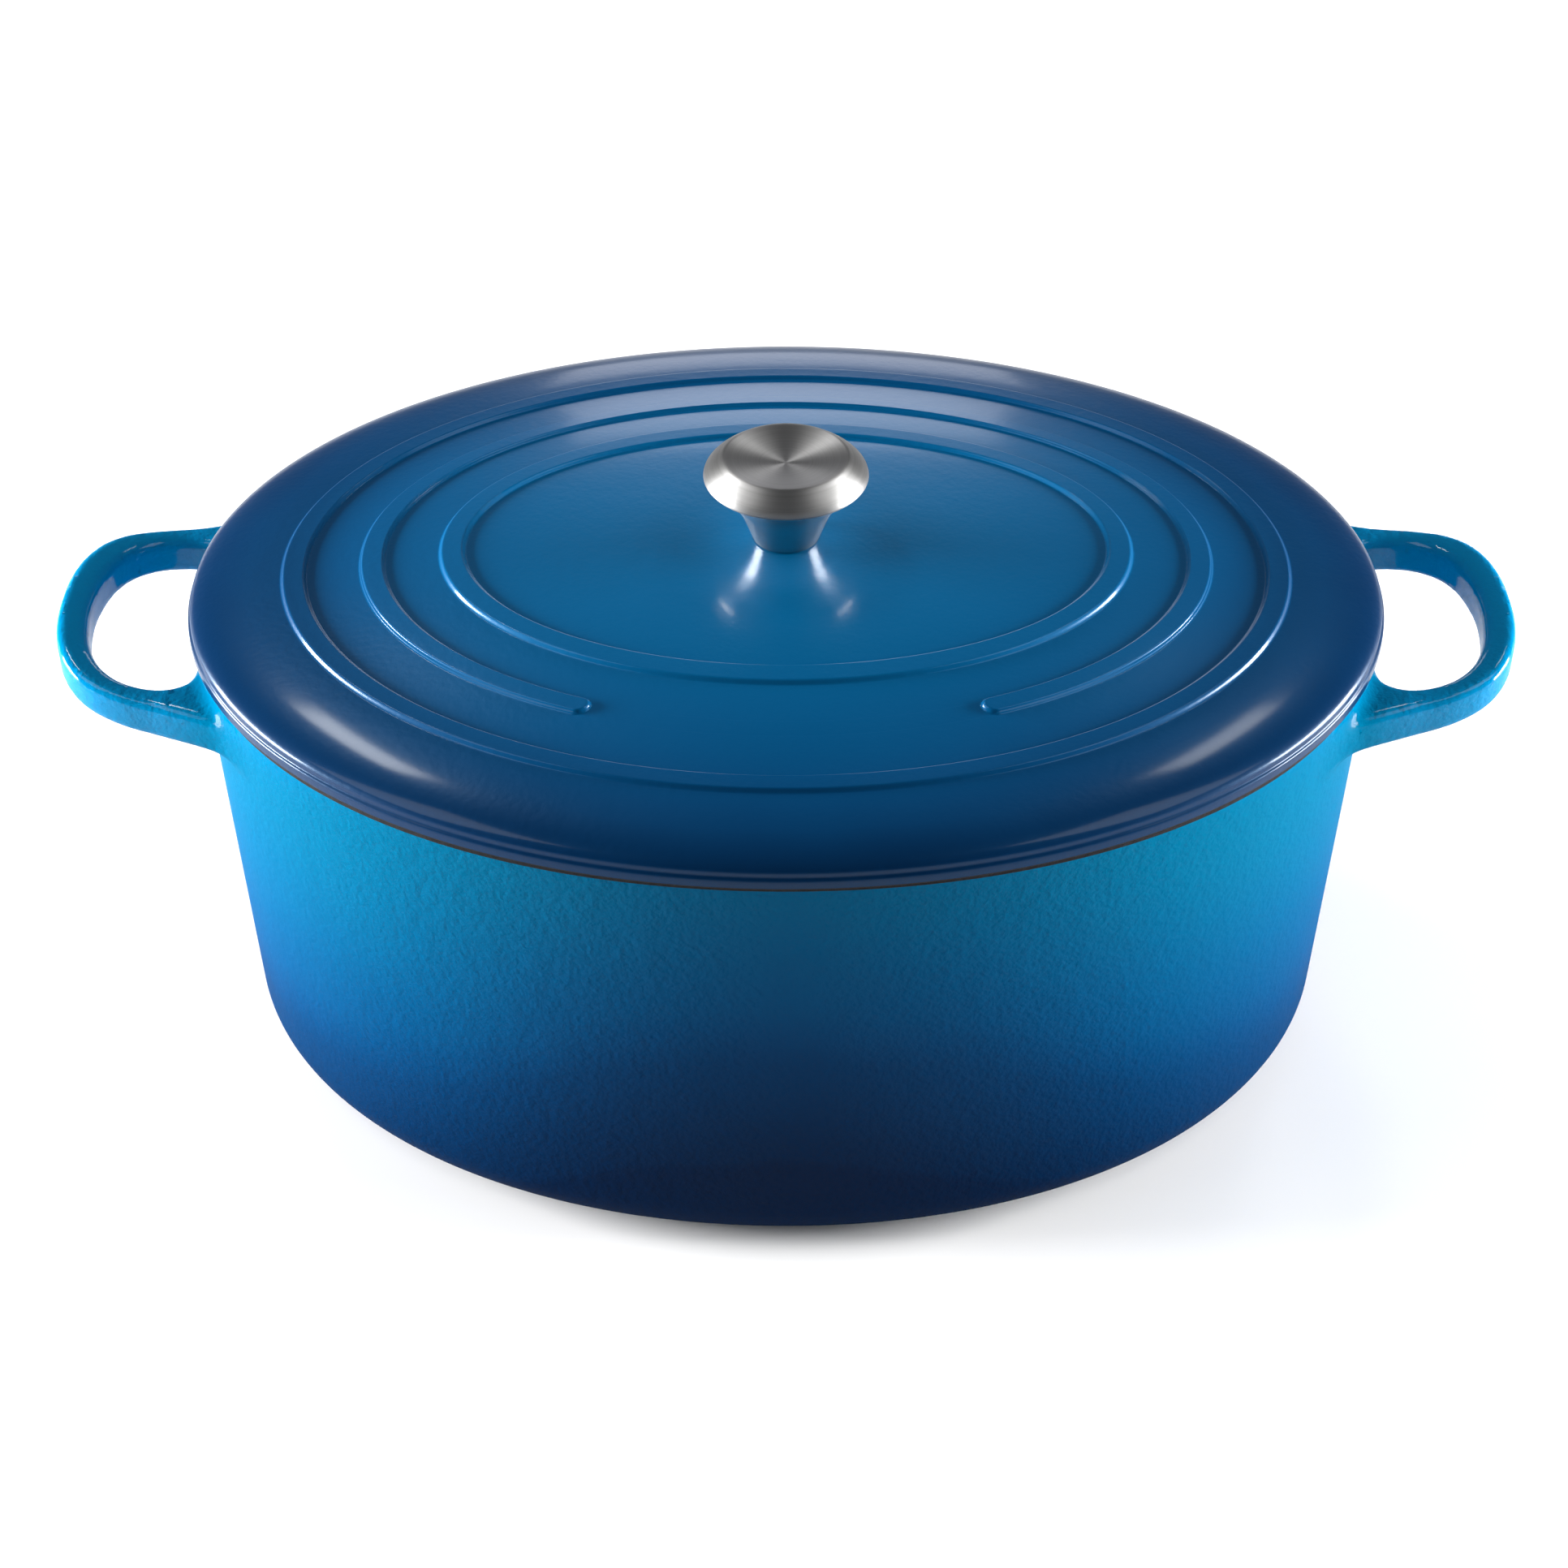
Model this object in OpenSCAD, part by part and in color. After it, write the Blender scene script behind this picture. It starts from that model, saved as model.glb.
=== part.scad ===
// Oval enamelled cast iron dutch oven: a pot with two cast loop handles, a domed lid with three
// raised rings, and a stainless knob held by one screw from inside the lid.
// Millimetres, +Z up, +X along the handles. Origin on the resting plane, under the pot's centre.

/* [Pot] */
// Half length of the pot at its rim, without the handles
pot_a = 206.4; // [200:0.2:212]
// Half width of the pot at its rim
pot_b = 160.4; // [155:0.2:166]
// Height of the rim's flat top above the table
pot_h = 171; // [160:0.5:182]
// Thickness of the pot's wall
wall_t = 4.5; // [4:0.1:6]
// Thickness of the pot's floor
floor_t = 5; // [4.5:0.1:7]
// How far the wall leans in from rim to floor, in degrees
draft = 2.6; // [1.5:0.1:3]
// Radius of the rounded corner between wall and floor, outside
corner_r = 21; // [18:0.5:24]
// How far the foot's edge lies inside the rim's outline
foot_in = 19.1; // [17.5:0.1:20.5]
// Width of the foot's flat ring
foot_w = 9; // [6:0.5:14]
// Depth of the recess inside the foot
recess = 0.8; // [0.4:0.1:1.5]

/* [Handles] */
// Distance from the centre to the outside of a handle's tip, before it is tilted
handle_x = 256.5; // [252:0.5:260]
// Width of a handle's bar, seen from above
bar_w = 12; // [11:0.5:13]
// Thickness of a handle's bar, seen from the side
bar_t = 14; // [12:0.5:15]
// Radius of the bar's long edges
bar_edge_r = 4; // [3:0.5:5.5]
// Upward slope of the handles, in degrees
handle_tilt = 9.5; // [6:0.5:12]
// Drop of the bar's middle under the rim, where it leaves the wall
handle_drop = 15.6; // [13:0.1:17]

/* [Lid] */
// How far the lid's edge stands out over the pot's wall
lid_over = 2.6; // [2:0.1:4]
// Thickness of the lid's casting
lid_t = 4.4; // [4:0.1:6]
// Height of the lid's upright edge
lip_h = 3.4; // [2:0.1:4]
// Radius of the lid's rounded shoulder
shoulder_r = 8; // [6:0.5:10]
// Depth of the flange that drops inside the pot's mouth
flange_h = 7; // [5:0.5:9]
// Clearance between the flange and the pot's inner wall
flange_gap = 1.2; // [0.8:0.1:2]
// Width of each raised ring
ring_w = 8; // [6:0.5:9]
// Height of each raised ring
ring_h = 1.3; // [0.8:0.1:2]
// Half of the plain gap in the middle ring, at the front
ring_gap = 68; // [50:1:80]

/* [Knob] */
// Radius of the knob at its widest
knob_r = 28.5; // [27:0.5:30]
// Radius of the dished top, to its edge
dish_r = 21.6; // [19:0.1:22.5]
// Height of the knob's widest edge above the lid's centre
knob_edge_h = 24.9; // [23:0.1:27]
// Height of the dish's edge above the knob's widest edge
bevel_h = 7.5; // [6:0.1:9]
// Radius of the stem at its foot
stem_r = 11.7; // [10.5:0.1:13]
// Thickness of the knob's steel
steel_t = 1.6; // [1.2:0.1:2]
// Radius of the screw's shank
screw_r = 3; // [2.5:0.25:3]

/* [Hidden] */
$fn = 96;

enamel = [0.0, 0.42, 0.68];
enamel_dark = [0.0, 0.27, 0.47];
steel = [0.74, 0.74, 0.74];
zinc = [0.6, 0.62, 0.65];
brass = [0.78, 0.62, 0.3];

// How far a section reaches past the oval's middle
past = 5;
// Gap kept between the lid and the rim that it rests on
seat_gap = 0.3;
// Gap round the screw in the bores that it passes through
screw_gap = 0.05;

// Pot: the corner's centre, measured in from the rim's outline, outside and inside
inner_corner_r = corner_r + 1;
inner_floor_z = recess + floor_t;
outer_c = [corner_x(corner_r, corner_r), corner_r];
inner_c = [corner_x(inner_corner_r, inner_floor_z + inner_corner_r),
           inner_floor_z + inner_corner_r];
// Direction straight out of the leaning wall
wall_out = [cos(draft), -sin(draft)];

// Handle, before it is tilted: the middle line of its bar, seen from above
bend_r = 32;
bend_c = [handle_x - bar_w / 2 - bend_r, 18];
arm_end_x = 186;
// Where the handle tilts from
root = [200, pot_h - handle_drop];
// Round corner of the finger gap, where the arm meets the wall
gap_r = 9;
gap_c = [208.5, bend_c[1] + bend_r - bar_w / 2 + 0.5 - gap_r];
// The webs that widen each arm towards the wall, outside and inside
flare = [[229, 54], [205, 62], [184.5, 71], [176, 58], [200, 48]];
web = [[192, gap_c[1]], gap_c, [gap_c[0] + 4, 46], [220, 52], [190, 62]];
web_edge = 1.2;

// Lid: its outline, and points of its dome as [distance in from the edge, height over the edge]
lid_a = pot_a + lid_over;
lid_b = pot_b + lid_over;
lid_z = pot_h + seat_gap;
dome = [[35, 13.7], [61, 17.1], [89, 20], [lid_b, 24.1]];
shoulder_top = 82.5;
shoulder_c = [-shoulder_r, lip_h];
shoulder_p = shoulder_c + shoulder_r * [cos(shoulder_top), sin(shoulder_top)];
lid_top_z = lid_z + dome[3][1];
flange_in = lid_over + wall_t + flange_gap;
flange_w = 4;
hollow_in = flange_in + flange_w;
// Depth that the middle ring is let into the dome
ring_root = 3.6;
// Width of a ring's sloping edges
ring_slope = 0.8;
// Outer half length and half width of each raised ring
rings = [[175.5, 131.3], [148.1, 105.5], [120.3, 81.3]];
// Flat pads round the screw's hole, above and below
pad_r = 13;
under_pad_r = 10.5;
under_pad_z = lid_top_z - lid_t - 1.2;

// Knob: the heights of its edges, from the flat pad up
knob_z = lid_top_z + 0.05;
edge_z = knob_z + knob_edge_h;
dish_z = edge_z + bevel_h;
dish_depth = 2.4;
stem_floor = 2;
stem_lip_r = knob_r - steel_t - 0.25;
// The stem's outside, as [radius over the foot's, height]
stem_line = [[0, 0], [2.3, 6.2], [5, 12], [9.3, 18], [stem_lip_r - stem_r, knob_edge_h - 1]];
insert_r = 6.5;
insert_h = 13;

// Screw and washers, stacked down from the pad inside the lid
flat_t = 1.2;
flat_r = 8;
spring_t = 1.5;
spring_r = 5.5;
head_r = 5.8;
head_h = 3.4;
head_z = under_pad_z - flat_t - spring_t;
screw_top_z = knob_z + stem_floor + insert_h - 1;

// How far in from the rim's outline a corner's centre lies, for its radius r and its height z
function corner_x(r, z) = -r / cos(draft) - (pot_h - z) * tan(draft);

// An oval is four arcs that meet without a corner. Their centres lie on a 3-4-5 triangle, so its
// half length a and half width b alone set the radii of the end arcs and of the side arcs.
function end_x(a, b) = 1.5 * (a - b);
function end_r(a, b) = a - end_x(a, b);
function side_y(a, b) = 2 * (a - b);
function side_r(a, b) = b + side_y(a, b);

// Sweeps a section round the oval. The section's X is the distance out from the oval's outline,
// and its Y is the height. It may reach past the oval's middle.
module oval_sweep(a, b) {
    for (x = [0, 1], y = [0, 1])
        mirror([x, 0, 0]) mirror([0, y, 0]) oval_quarter(a, b) children();
}

module oval_quarter(a, b) {
    high = 4 * a;
    join_angle = atan2(4, 3);
    intersection() {
        translate([end_x(a, b), 0, 0])
            rotate([0, 0, join_angle]) {
                rotate_extrude(angle = 54, start = -54)
                    intersection() {
                        translate([end_r(a, b), 0]) children();
                        translate([0, -high / 2]) square([2 * a, high]);
                    }
                translate([end_r(a, b) - side_r(a, b), 0, 0])
                    rotate_extrude(angle = 38)
                        translate([side_r(a, b), 0]) children();
            }
        translate([0, 0, -high / 2]) cube([2 * a, 2 * a, high]);
    }
}

// An upright oval cylinder, from height z0 to z1
module oval_cylinder(a, b, z0, z1) {
    oval_sweep(a, b) translate([-b - past, z0]) square([b + past, z1 - z0]);
}

// A rectangle with rounded corners, round its own middle
module round_rect(w, h, r) {
    square([w, h - 2 * r], center = true);
    square([w - 2 * r, h], center = true);
    for (x = [-1, 1], y = [-1, 1])
        translate([x * (w / 2 - r), y * (h / 2 - r)]) circle(r);
}

// ---- Pot ----
module pot_outline() {
    reach = -pot_b - past;
    polygon([[reach, pot_h], [-0.8, pot_h], [-0.04, pot_h - 0.8],
             outer_c + corner_r * wall_out, outer_c, [reach, corner_r]]);
    intersection() {
        translate(outer_c) circle(corner_r);
        translate([outer_c[0], 0]) square([2 * corner_r, corner_r]);
    }
    translate([reach, 0]) square([outer_c[0] - reach, corner_r]);
    translate([outer_c[0], 0]) square([-foot_in - outer_c[0], corner_r / 2]);
}

// The cooking space, measured in from the rim's inner edge
module pot_hollow() {
    reach = wall_t - pot_b - past;
    above = 5;
    polygon([[reach, pot_h + above], [above * tan(draft), pot_h + above],
             inner_c + inner_corner_r * wall_out, inner_c, [reach, inner_c[1]]]);
    intersection() {
        translate(inner_c) circle(inner_corner_r);
        translate([inner_c[0], 0]) square([2 * inner_corner_r, inner_c[1]]);
    }
    translate([reach, inner_floor_z]) square([inner_c[0] - reach, inner_corner_r]);
}

// The handle's bar: a tip, two bends and two arms
module handle_bar() {
    translate([bend_c[0] + bend_r, bend_c[1], 0])
        rotate([90, 0, 0])
            linear_extrude(2 * bend_c[1]) round_rect(bar_w, bar_t, bar_edge_r);
    for (side = [0, 1])
        mirror([0, side, 0])
            translate([bend_c[0], bend_c[1], 0]) {
                rotate_extrude(angle = 90)
                    translate([bend_r, 0]) round_rect(bar_w, bar_t, bar_edge_r);
                translate([0, bend_r, 0])
                    rotate([0, -90, 0])
                        linear_extrude(bend_c[0] - arm_end_x)
                            round_rect(bar_t, bar_w, bar_edge_r);
            }
}

module handle_webs() {
    thick = bar_t - 2 * web_edge;
    for (side = [0, 1])
        mirror([0, side, 0])
            translate([0, 0, -thick / 2])
                linear_extrude(thick)
                    difference() {
                        union() {
                            polygon(flare);
                            polygon(web);
                        }
                        translate(gap_c) circle(gap_r);
                    }
}

module handle() {
    translate([root[0], 0, root[1]])
        rotate([0, -handle_tilt, 0])
            translate([-root[0], 0, 0]) {
                handle_bar();
                handle_webs();
            }
}

module pot() {
    color(enamel)
        difference() {
            union() {
                oval_sweep(pot_a, pot_b) pot_outline();
                for (side = [0, 180])
                    rotate([0, 0, side]) handle();
            }
            oval_sweep(pot_a - wall_t, pot_b - wall_t) pot_hollow();
            oval_cylinder(pot_a - foot_in - foot_w, pot_b - foot_in - foot_w, -1, recess);
        }
}

// ---- Lid ----
// How far in from the lid's edge a ring lies, between its ends and its sides
function ring_inset(ring) = (lid_a - ring[0] + lid_b - ring[1]) / 2;
// Height of the dome's outside over the edge, at a distance in from the edge
function dome_height(inset) = lookup(inset, concat([[-shoulder_p[0], shoulder_p[1]]], dome));
// A whole ring as points of the lid's section, from its outer foot to its inner foot
function ring_points(inset, top) =
    [[-inset, dome_height(inset)], [-inset - ring_slope, top],
     [-inset - ring_w + ring_slope, top], [-inset - ring_w, dome_height(inset + ring_w)]];
function ring_top(ring) = ring_h + dome_height(ring_inset(ring) + ring_w / 2);

// The section under the lid's outside, from its edge in past the middle
module dome_area() {
    reach = -lid_b - past;
    polygon(concat([[0, 0], [0, lip_h], shoulder_c, shoulder_p],
                   ring_points(ring_inset(rings[0]), ring_top(rings[0])),
                   [[-dome[1][0], dome[1][1]]],
                   ring_points(ring_inset(rings[2]), ring_top(rings[2])),
                   [[-lid_b, dome[3][1]], [reach, dome[3][1]], [reach, 0]]));
    intersection() {
        translate(shoulder_c) circle(shoulder_r);
        translate([-shoulder_r, lip_h]) square(shoulder_r);
    }
}

// The casting's section: dome, upright edge and locating flange
module lid_section() {
    reach = -lid_b - 2 * past;
    difference() {
        union() {
            dome_area();
            translate([-hollow_in, -flange_h]) square([flange_w, flange_h + lip_h]);
        }
        polygon(concat([[-hollow_in, -flange_h - 1], [-hollow_in, lip_h + 1],
                        [-hollow_in - 3, shoulder_p[1] - lid_t + 1]],
                       [for (p = dome) [-p[0], p[1] - lid_t]],
                       [[reach, dome[3][1] - lid_t], [reach, -flange_h - 1]]));
    }
}

// The middle ring, let into the dome, with a plain gap at the front between two round ends
module open_ring(a, b) {
    top = lid_z + ring_top([a, b]);
    end_y = side_y(a, b) - sqrt((side_r(a, b) - ring_w / 2) ^ 2 - ring_gap ^ 2);
    difference() {
        oval_sweep(a, b)
            polygon([[-ring_w, top - ring_root], [0, top - ring_root],
                     [0, top - ring_slope], [-ring_slope, top],
                     [ring_slope - ring_w, top], [-ring_w, top - ring_slope]]);
        translate([-ring_gap, -2 * b, 0]) cube([2 * ring_gap, 2 * b, 2 * top]);
    }
    for (side = [-1, 1])
        translate([side * ring_gap, end_y, top - ring_root])
            cylinder(h = ring_root, r = ring_w / 2);
}

module lid() {
    color(enamel_dark)
        difference() {
            union() {
                translate([0, 0, lid_z]) oval_sweep(lid_a, lid_b) lid_section();
                open_ring(rings[1][0], rings[1][1]);
                translate([0, 0, lid_top_z - lid_t]) cylinder(h = lid_t, r = pad_r);
                translate([0, 0, under_pad_z]) cylinder(h = lid_t, r = under_pad_r);
            }
            translate([0, 0, under_pad_z - 1]) cylinder(h = 3 * lid_t, r = screw_r + 0.4);
        }
}

// ---- Knob ----
module knob_cap() {
    inside = knob_r - steel_t - 0.2;
    color(steel)
        rotate_extrude()
            polygon([[0, dish_z - dish_depth - steel_t], [0, dish_z - dish_depth],
                     [dish_r * 0.55, dish_z - dish_depth * 0.75],
                     [dish_r - 1.5, dish_z - 0.5], [dish_r - 0.4, dish_z],
                     [dish_r + 0.8, dish_z - 0.3], [knob_r - 0.8, edge_z + 1.2],
                     [knob_r, edge_z], [knob_r - 0.6, edge_z - 1], [inside, edge_z - 1],
                     [inside, edge_z + 0.6], [dish_r - 0.4, dish_z - steel_t - 0.9],
                     [dish_r * 0.55, dish_z - dish_depth * 0.75 - steel_t]]);
}

module knob_stem() {
    outside = [for (p = stem_line) [stem_r + p[0], knob_z + p[1]]];
    inside = [for (i = [4:-1:1]) outside[i] - [steel_t, -steel_t / 3]];
    color(steel)
        difference() {
            rotate_extrude()
                polygon(concat([[0, knob_z]], outside,
                               [[stem_lip_r, edge_z + 0.4]], inside,
                               [[stem_r - steel_t, knob_z + stem_floor],
                                [0, knob_z + stem_floor]]));
            translate([0, 0, knob_z - 1])
                cylinder(h = stem_floor + 2, r = screw_r + screw_gap);
        }
}

module knob_insert() {
    z = knob_z + stem_floor;
    color(brass)
        difference() {
            translate([0, 0, z]) cylinder(h = insert_h, r = insert_r);
            translate([0, 0, z - 1])
                cylinder(h = insert_h + 2, r = screw_r + screw_gap);
        }
}

module knob_screw() {
    color(zinc)
        difference() {
            union() {
                translate([0, 0, head_z - 0.5])
                    cylinder(h = screw_top_z - head_z + 0.5, r = screw_r);
                rotate_extrude()
                    polygon([[0, head_z - head_h], [head_r * 0.55, head_z - head_h],
                             [head_r * 0.85, head_z - head_h * 0.75],
                             [head_r, head_z - head_h * 0.35], [head_r, head_z], [0, head_z]]);
            }
            for (turn = [0, 90])
                rotate([0, 0, turn])
                    translate([-2.8, -0.5, head_z - head_h - 1]) cube([5.6, 1, 3.2]);
        }
}

// The lock washer: a ring with a slit
module spring_washer() {
    color(zinc)
        translate([0, 0, head_z])
            rotate_extrude(angle = 348)
                translate([screw_r + 0.3, 0]) square([spring_r - screw_r - 0.3, spring_t]);
}

module flat_washer() {
    color(zinc)
        translate([0, 0, under_pad_z - flat_t])
            difference() {
                cylinder(h = flat_t, r = flat_r);
                translate([0, 0, -1]) cylinder(h = flat_t + 2, r = screw_r + 0.25);
            }
}

pot();
lid();
knob_cap();
knob_stem();
knob_insert();
knob_screw();
spring_washer();
flat_washer();
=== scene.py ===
"""Oval enamelled cast iron dutch oven with a lid that lifts off: the visual model.

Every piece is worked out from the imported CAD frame, in metres. The pot and the lid are rebuilt as
smooth castings, the knob as turned steel, and the small fasteners keep their CAD shape.
"""
from math import asin, atan2, cos, pi, radians, sin, sqrt, tan

import bpy
import numpy as np
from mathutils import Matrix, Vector


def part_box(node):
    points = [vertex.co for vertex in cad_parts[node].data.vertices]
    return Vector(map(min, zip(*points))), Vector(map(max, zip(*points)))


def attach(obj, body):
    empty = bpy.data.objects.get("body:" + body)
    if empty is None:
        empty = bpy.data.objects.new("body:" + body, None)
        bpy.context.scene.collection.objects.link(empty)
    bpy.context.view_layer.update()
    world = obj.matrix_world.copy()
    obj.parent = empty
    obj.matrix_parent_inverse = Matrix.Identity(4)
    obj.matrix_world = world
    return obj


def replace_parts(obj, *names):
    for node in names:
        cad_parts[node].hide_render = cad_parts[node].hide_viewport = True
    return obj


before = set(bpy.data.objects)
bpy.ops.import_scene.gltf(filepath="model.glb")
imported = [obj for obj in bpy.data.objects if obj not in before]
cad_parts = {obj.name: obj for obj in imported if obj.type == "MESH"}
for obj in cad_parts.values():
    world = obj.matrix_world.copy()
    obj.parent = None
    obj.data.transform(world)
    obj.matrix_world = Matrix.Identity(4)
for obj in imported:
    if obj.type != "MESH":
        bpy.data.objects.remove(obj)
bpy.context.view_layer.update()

MM = 0.001

# ---------------------------------------------------------------------------------------------
# Sizes, from the frame and from the casting's own section, in metres
# ---------------------------------------------------------------------------------------------
_, POT_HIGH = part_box("pot")
_, LID_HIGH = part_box("lid")
CAP_LOW, CAP_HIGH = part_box("knob_cap")
STEM_LOW, STEM_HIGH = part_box("knob_stem")

RIM_Z = POT_HIGH[2]
HANDLE_X = POT_HIGH[0]
LID_A = LID_HIGH[0]
LID_B = LID_HIGH[1]
# How far the lid reaches past the pot's rim
LID_OVER = 2.6 * MM
POT_A = LID_A - LID_OVER
POT_B = LID_B - LID_OVER
SEAT_GAP = 0.3 * MM
LID_Z = RIM_Z + SEAT_GAP
LID_TOP = LID_HIGH[2]

# The pot's wall, the height of its floor's inside, and its ring foot
WALL = 4.5 * MM
FLOOR = 5.8 * MM
DRAFT = radians(2.6)
CORNER_R = 21 * MM
INNER_CORNER_R = CORNER_R + 1 * MM
FOOT_IN = 19.1 * MM
FOOT_W = 9 * MM
FOOT_EDGE = 0.4 * MM
FOOT_STEP = 0.2 * MM
RECESS = 0.8 * MM
RECESS_SLOPE = 1.6 * MM
# The bare rim: the radius of its two edges, and the lower line of its black band
RIM_EDGE = 1.3 * MM
RIM_BAND = 2.4 * MM
BAND_Z = RIM_Z - RIM_BAND
# The pot seen from above is a superellipse, a little fuller than an ellipse
POT_POWER = 2.04
# Points in a ring round the pot
AROUND = 512
# Angles, in degrees, that draw a small round corner
ROUND = (22, 45, 67, 90)


# ---------------------------------------------------------------------------------------------
# Mesh helpers
# ---------------------------------------------------------------------------------------------
def new_object(name, verts, faces, material, body, slot_name):
    """A smooth mesh object that rides on a CAD body and takes the given material; slot_name is not
    used.
    """
    mesh = bpy.data.meshes.new(name)
    mesh.from_pydata([tuple(v) for v in verts], [], [tuple(f) for f in faces])
    mesh.validate()
    mesh.update()
    mesh.polygons.foreach_set("use_smooth", [True] * len(mesh.polygons))
    obj = bpy.data.objects.new(name, mesh)
    bpy.context.scene.collection.objects.link(obj)
    obj.data.materials.append(material)
    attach(obj, body)
    return obj


def ring_stack(rings, close_start=False, close_end=False):
    """Vertices and faces of a skin over a list of rings, each an array of count by 3."""
    count = len(rings[0])
    verts = list(np.concatenate(rings))
    here = np.arange(count)
    following = (here + 1) % count
    faces = []
    for k in range(len(rings) - 1):
        low, high = k * count, (k + 1) * count
        faces += list(zip(low + here, low + following, high + following, high + here))
    if close_start:
        tip = len(verts)
        verts.append(np.mean(rings[0], axis=0))
        faces += [(tip, b, a) for a, b in zip(here, following)]
    if close_end:
        tip = len(verts)
        start = (len(rings) - 1) * count
        verts.append(np.mean(rings[-1], axis=0))
        faces += [(tip, start + a, start + b) for a, b in zip(here, following)]
    return verts, faces


def turned_over(skin):
    """The same vertices and faces, with every face looking the other way."""
    verts, faces = skin
    return verts, [face[::-1] for face in faces]


def join(parts):
    """Several (vertices, faces) as one."""
    verts, faces = [], []
    for part_verts, part_faces in parts:
        base = len(verts)
        verts += list(part_verts)
        faces += [tuple(i + base for i in face) for face in part_faces]
    return verts, faces


# ---------------------------------------------------------------------------------------------
# Pot: section as (distance in from the rim's outline, height)
# ---------------------------------------------------------------------------------------------
def wall_in(z):
    """How far the leaning wall lies in from the rim's outline at height z."""
    return (RIM_Z - z) * tan(DRAFT)


def pot_rings(section):
    """A superellipse round the pot for every point of a section."""
    t = np.linspace(0, 2 * pi, AROUND, endpoint=False)
    along = np.sign(np.cos(t)) * np.abs(np.cos(t)) ** (2 / POT_POWER)
    across = np.sign(np.sin(t)) * np.abs(np.sin(t)) ** (2 / POT_POWER)
    return [np.stack([(POT_A - inset) * along, (POT_B - inset) * across, np.full_like(t, z)],
                     axis=1) for inset, z in section]


def corner_centre(t, r, z):
    """Distance in of the centre of a corner of radius r, at height z, for a wall set in by t."""
    return (t + r) / cos(DRAFT) + wall_in(z)


def outside_section():
    """From the rim's black band down the wall, round the corner and across the foot."""
    centre = corner_centre(0, CORNER_R, CORNER_R)
    start_z = CORNER_R - CORNER_R * sin(DRAFT)
    wall = [(wall_in(z), z) for z in np.linspace(BAND_Z, start_z, 60)]
    drop = sqrt(CORNER_R ** 2 - (centre - FOOT_IN) ** 2)
    kink = np.degrees(atan2(drop, centre - FOOT_IN))
    corner = [(centre - CORNER_R * cos(radians(t)), CORNER_R - CORNER_R * sin(radians(t)))
              for t in np.linspace(np.degrees(DRAFT), kink, 24)][1:]
    foot = [(FOOT_IN, CORNER_R - drop - FOOT_STEP), (FOOT_IN, FOOT_EDGE)]
    foot += [(FOOT_IN + FOOT_EDGE - FOOT_EDGE * cos(radians(t)),
              FOOT_EDGE - FOOT_EDGE * sin(radians(t))) for t in ROUND]
    inner = FOOT_IN + FOOT_W
    under = [(inner, 0.0), (inner + RECESS_SLOPE / 2, RECESS * 0.8),
             (inner + RECESS_SLOPE, RECESS)]
    under += [(inner + (POT_B - inner) * k, RECESS) for k in (0.3, 0.6, 0.9)]
    return wall + corner + foot + under


def inside_section():
    """From the rim's black band down the inner wall, round the corner and across the floor."""
    r = INNER_CORNER_R
    centre_z = FLOOR + r
    centre = corner_centre(WALL, r, centre_z)
    start_z = centre_z - r * sin(DRAFT)
    wall = [(WALL + wall_in(z), z) for z in np.linspace(BAND_Z, start_z, 40)]
    corner = [(centre - r * cos(radians(t)), centre_z - r * sin(radians(t)))
              for t in np.linspace(np.degrees(DRAFT), 90, 28)][1:]
    floor = [(centre + (POT_B - centre) * k, FLOOR) for k in (0.25, 0.5, 0.75, 0.95)]
    return wall + corner + floor


def rim_section():
    """Over the rim, from outside to inside."""
    edge_z = RIM_Z - RIM_EDGE
    outer = [(wall_in(BAND_Z), BAND_Z), (wall_in(edge_z), edge_z)]
    outer += [(RIM_EDGE - RIM_EDGE * cos(radians(t)), edge_z + RIM_EDGE * sin(radians(t)))
              for t in (20, 40, 60, 75, 90)]
    inner = [(WALL - RIM_EDGE + RIM_EDGE * cos(radians(t)), edge_z + RIM_EDGE * sin(radians(t)))
             for t in (90, 75, 60, 40, 20, 0)]
    return outer + inner + [(WALL + wall_in(BAND_Z), BAND_Z)]


# ---------------------------------------------------------------------------------------------
# Handles: the casting's skin where a loop grows out of the wall, as one blended surface
# ---------------------------------------------------------------------------------------------
# The loop seen from above: half of its outside and half of its finger gap, in millimetres
LOOP_OUTSIDE = [(255.6, 0), (255.1, 12), (252.9, 25), (248.2, 37), (240.5, 46), (229, 52.2),
                (215, 56.6), (202, 61.6), (190, 67.6), (178, 75.5), (164, 84)]
LOOP_GAP = [(245.2, 0), (244.4, 12), (241.9, 24), (237, 34.2), (229.5, 41.2), (220.5, 44.4),
            (212.5, 44.2), (206.4, 40.6), (202.6, 33.5), (198, 20), (196, 0)]
LOOP_THICK = 14 * MM
LOOP_EDGE = 3.6 * MM
# Where the bar's middle line leaves the wall, as (X, height), and how far it rises to its tip
LOOP_ROOT = (204 * MM, 155.9 * MM)
LOOP_LIFT = 9.0 * MM
# Width of the fillet at the wall
BLEND = 6 * MM
# The blended skin meets the wall this far under its surface, so that the two don't coincide
SINK = 0.015 * MM
# The block of space that holds the handle, and the grid steps in it and in the plan
NET_LOW = (170 * MM, -100 * MM, 130 * MM)
NET_HIGH = (262 * MM, 100 * MM, RIM_Z + 4 * MM)
NET_STEP = 1.5 * MM
PLAN_LOW = (150 * MM, -104 * MM)
PLAN_HIGH = (264 * MM, 104 * MM)
PLAN_STEP = 0.5 * MM


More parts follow.
